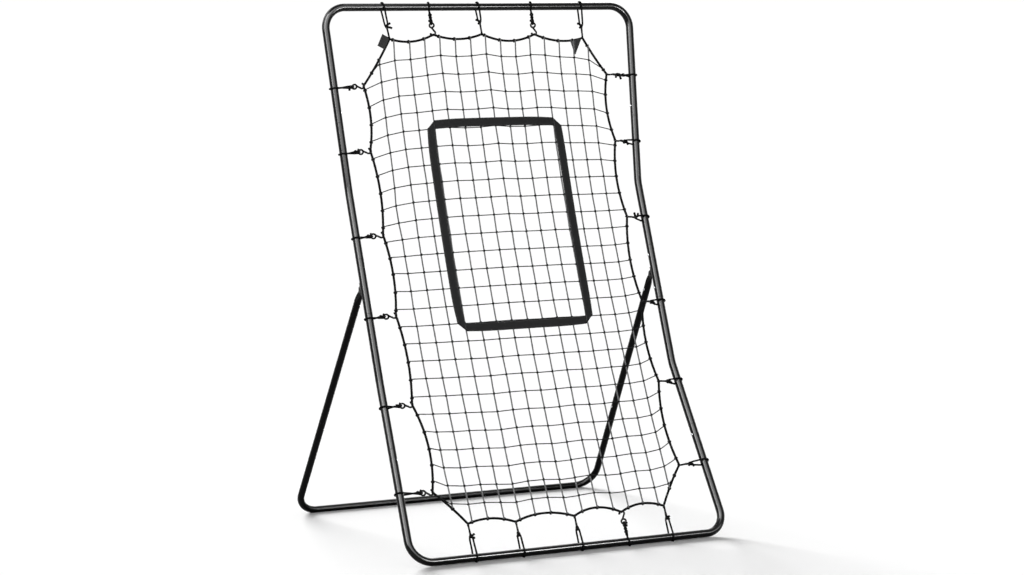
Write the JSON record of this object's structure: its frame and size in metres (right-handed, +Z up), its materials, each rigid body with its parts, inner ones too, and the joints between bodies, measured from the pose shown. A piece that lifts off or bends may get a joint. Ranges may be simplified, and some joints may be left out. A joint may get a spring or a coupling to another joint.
{
  "type": "pitch back rebounder",
  "caption": "Folding pitch back rebounder: a leaning bent-tube frame on a hinged rear stand, with a net and strap target drawn out by elastic ties and hooks.",
  "frame": {"origin": "on the floor, in the middle of the footprint", "axes": "+X across the frame, +Y to the rear where the stand is, +Z up"},
  "size_m": [1.0038, 0.8366, 1.5014],
  "materials": {
    "frame_paint": "gloss black powder coat on round steel tube",
    "stand_paint": "gloss black powder coat on round steel tube",
    "bright_steel": "zinc-plated spring steel and rivets",
    "net_cord": "thin twisted polyester cord, knotted",
    "edge_rope": "braided cord",
    "webbing": "woven flat webbing",
    "tab_fabric": "plain folded fabric",
    "elastic_cord": "braided sleeve over elastic",
    "hook_wire": "black coated wire"
  },
  "bodies": {
    "frame": {"top_u_tube": "frame_paint", "bottom_u_tube": "frame_paint", "upper_side_tube_left": "frame_paint", "upper_side_tube_right": "frame_paint", "lower_side_tube_left": "frame_paint", "lower_side_tube_right": "frame_paint", "middle_tube_left": "frame_paint", "middle_tube_right": "frame_paint", "pivot_bracket_left": "frame_paint", "pivot_bracket_right": "frame_paint", "pivot_rivet_left": "bright_steel", "pivot_rivet_right": "bright_steel", "frame_clip_springs": "bright_steel", "net_mesh": "net_cord", "edge_rope": "edge_rope", "target_strap": "webbing", "corner_tab_left": "tab_fabric", "corner_tab_right": "tab_fabric", "tie_cords_top": "elastic_cord", "tie_cords_bottom": "elastic_cord", "tie_cords_left": "elastic_cord", "tie_cords_right": "elastic_cord", "tie_hooks_top": "hook_wire", "tie_hooks_bottom": "hook_wire", "tie_hooks_left": "hook_wire", "tie_hooks_right": "hook_wire"},
    "stand": {"hinge_stub_left": "stand_paint", "hinge_stub_right": "stand_paint", "leg_tube_left": "stand_paint", "leg_tube_right": "stand_paint", "rear_u_tube": "stand_paint", "stand_clip_springs": "bright_steel"},
    "button_top_left": {"button_top_left": "bright_steel"},
    "button_top_right": {"button_top_right": "bright_steel"},
    "button_upper_left": {"button_upper_left": "bright_steel"},
    "button_upper_right": {"button_upper_right": "bright_steel"},
    "button_lower_left": {"button_lower_left": "bright_steel"},
    "button_lower_right": {"button_lower_right": "bright_steel"},
    "button_bottom_left": {"button_bottom_left": "bright_steel"},
    "button_bottom_right": {"button_bottom_right": "bright_steel"},
    "button_stub_left": {"button_stub_left": "bright_steel"},
    "button_stub_right": {"button_stub_right": "bright_steel"},
    "button_rear_left": {"button_rear_left": "bright_steel"},
    "button_rear_right": {"button_rear_right": "bright_steel"}
  },
  "joints": [
    {"name": "stand_fold", "type": "hinge", "parent": "frame", "child": "stand", "pos_m": [0, -0.00594, 0.71029], "axis": [1, 0, 0], "range_deg": [-50, 0]},
    {"name": "button_top_left_press", "type": "slide", "parent": "frame", "child": "button_top_left", "axis": [0.9986, 0.0114, 0.051], "range_m": [-0.0036, 0], "stiffness_N_per_m": 3000, "springref_m": 0.001},
    {"name": "button_top_right_press", "type": "slide", "parent": "frame", "child": "button_top_right", "axis": [-0.9986, 0.0114, 0.051], "range_m": [-0.0036, 0], "stiffness_N_per_m": 3000, "springref_m": 0.001},
    {"name": "button_upper_left_press", "type": "slide", "parent": "frame", "child": "button_upper_left", "axis": [1, 0, 0], "range_m": [-0.0036, 0], "stiffness_N_per_m": 3000, "springref_m": 0.001},
    {"name": "button_upper_right_press", "type": "slide", "parent": "frame", "child": "button_upper_right", "axis": [-1, 0, 0], "range_m": [-0.0036, 0], "stiffness_N_per_m": 3000, "springref_m": 0.001},
    {"name": "button_lower_left_press", "type": "slide", "parent": "frame", "child": "button_lower_left", "axis": [1, 0, 0], "range_m": [-0.0036, 0], "stiffness_N_per_m": 3000, "springref_m": 0.001},
    {"name": "button_lower_right_press", "type": "slide", "parent": "frame", "child": "button_lower_right", "axis": [-1, 0, 0], "range_m": [-0.0036, 0], "stiffness_N_per_m": 3000, "springref_m": 0.001},
    {"name": "button_bottom_left_press", "type": "slide", "parent": "frame", "child": "button_bottom_left", "axis": [0.9986, -0.027, -0.0448], "range_m": [-0.0036, 0], "stiffness_N_per_m": 3000, "springref_m": 0.001},
    {"name": "button_bottom_right_press", "type": "slide", "parent": "frame", "child": "button_bottom_right", "axis": [-0.9986, -0.027, -0.0448], "range_m": [-0.0036, 0], "stiffness_N_per_m": 3000, "springref_m": 0.001},
    {"name": "button_stub_left_press", "type": "slide", "parent": "stand", "child": "button_stub_left", "axis": [0.9992, 0.0206, -0.0349], "range_m": [-0.0036, 0], "stiffness_N_per_m": 3000, "springref_m": 0.001},
    {"name": "button_stub_right_press", "type": "slide", "parent": "stand", "child": "button_stub_right", "axis": [-0.9992, 0.0206, -0.0349], "range_m": [-0.0036, 0], "stiffness_N_per_m": 3000, "springref_m": 0.001},
    {"name": "button_rear_left_press", "type": "slide", "parent": "stand", "child": "button_rear_left", "axis": [0.9992, 0.0206, -0.0349], "range_m": [-0.0036, 0], "stiffness_N_per_m": 3000, "springref_m": 0.001},
    {"name": "button_rear_right_press", "type": "slide", "parent": "stand", "child": "button_rear_right", "axis": [-0.9992, 0.0206, -0.0349], "range_m": [-0.0036, 0], "stiffness_N_per_m": 3000, "springref_m": 0.001}
  ]
}
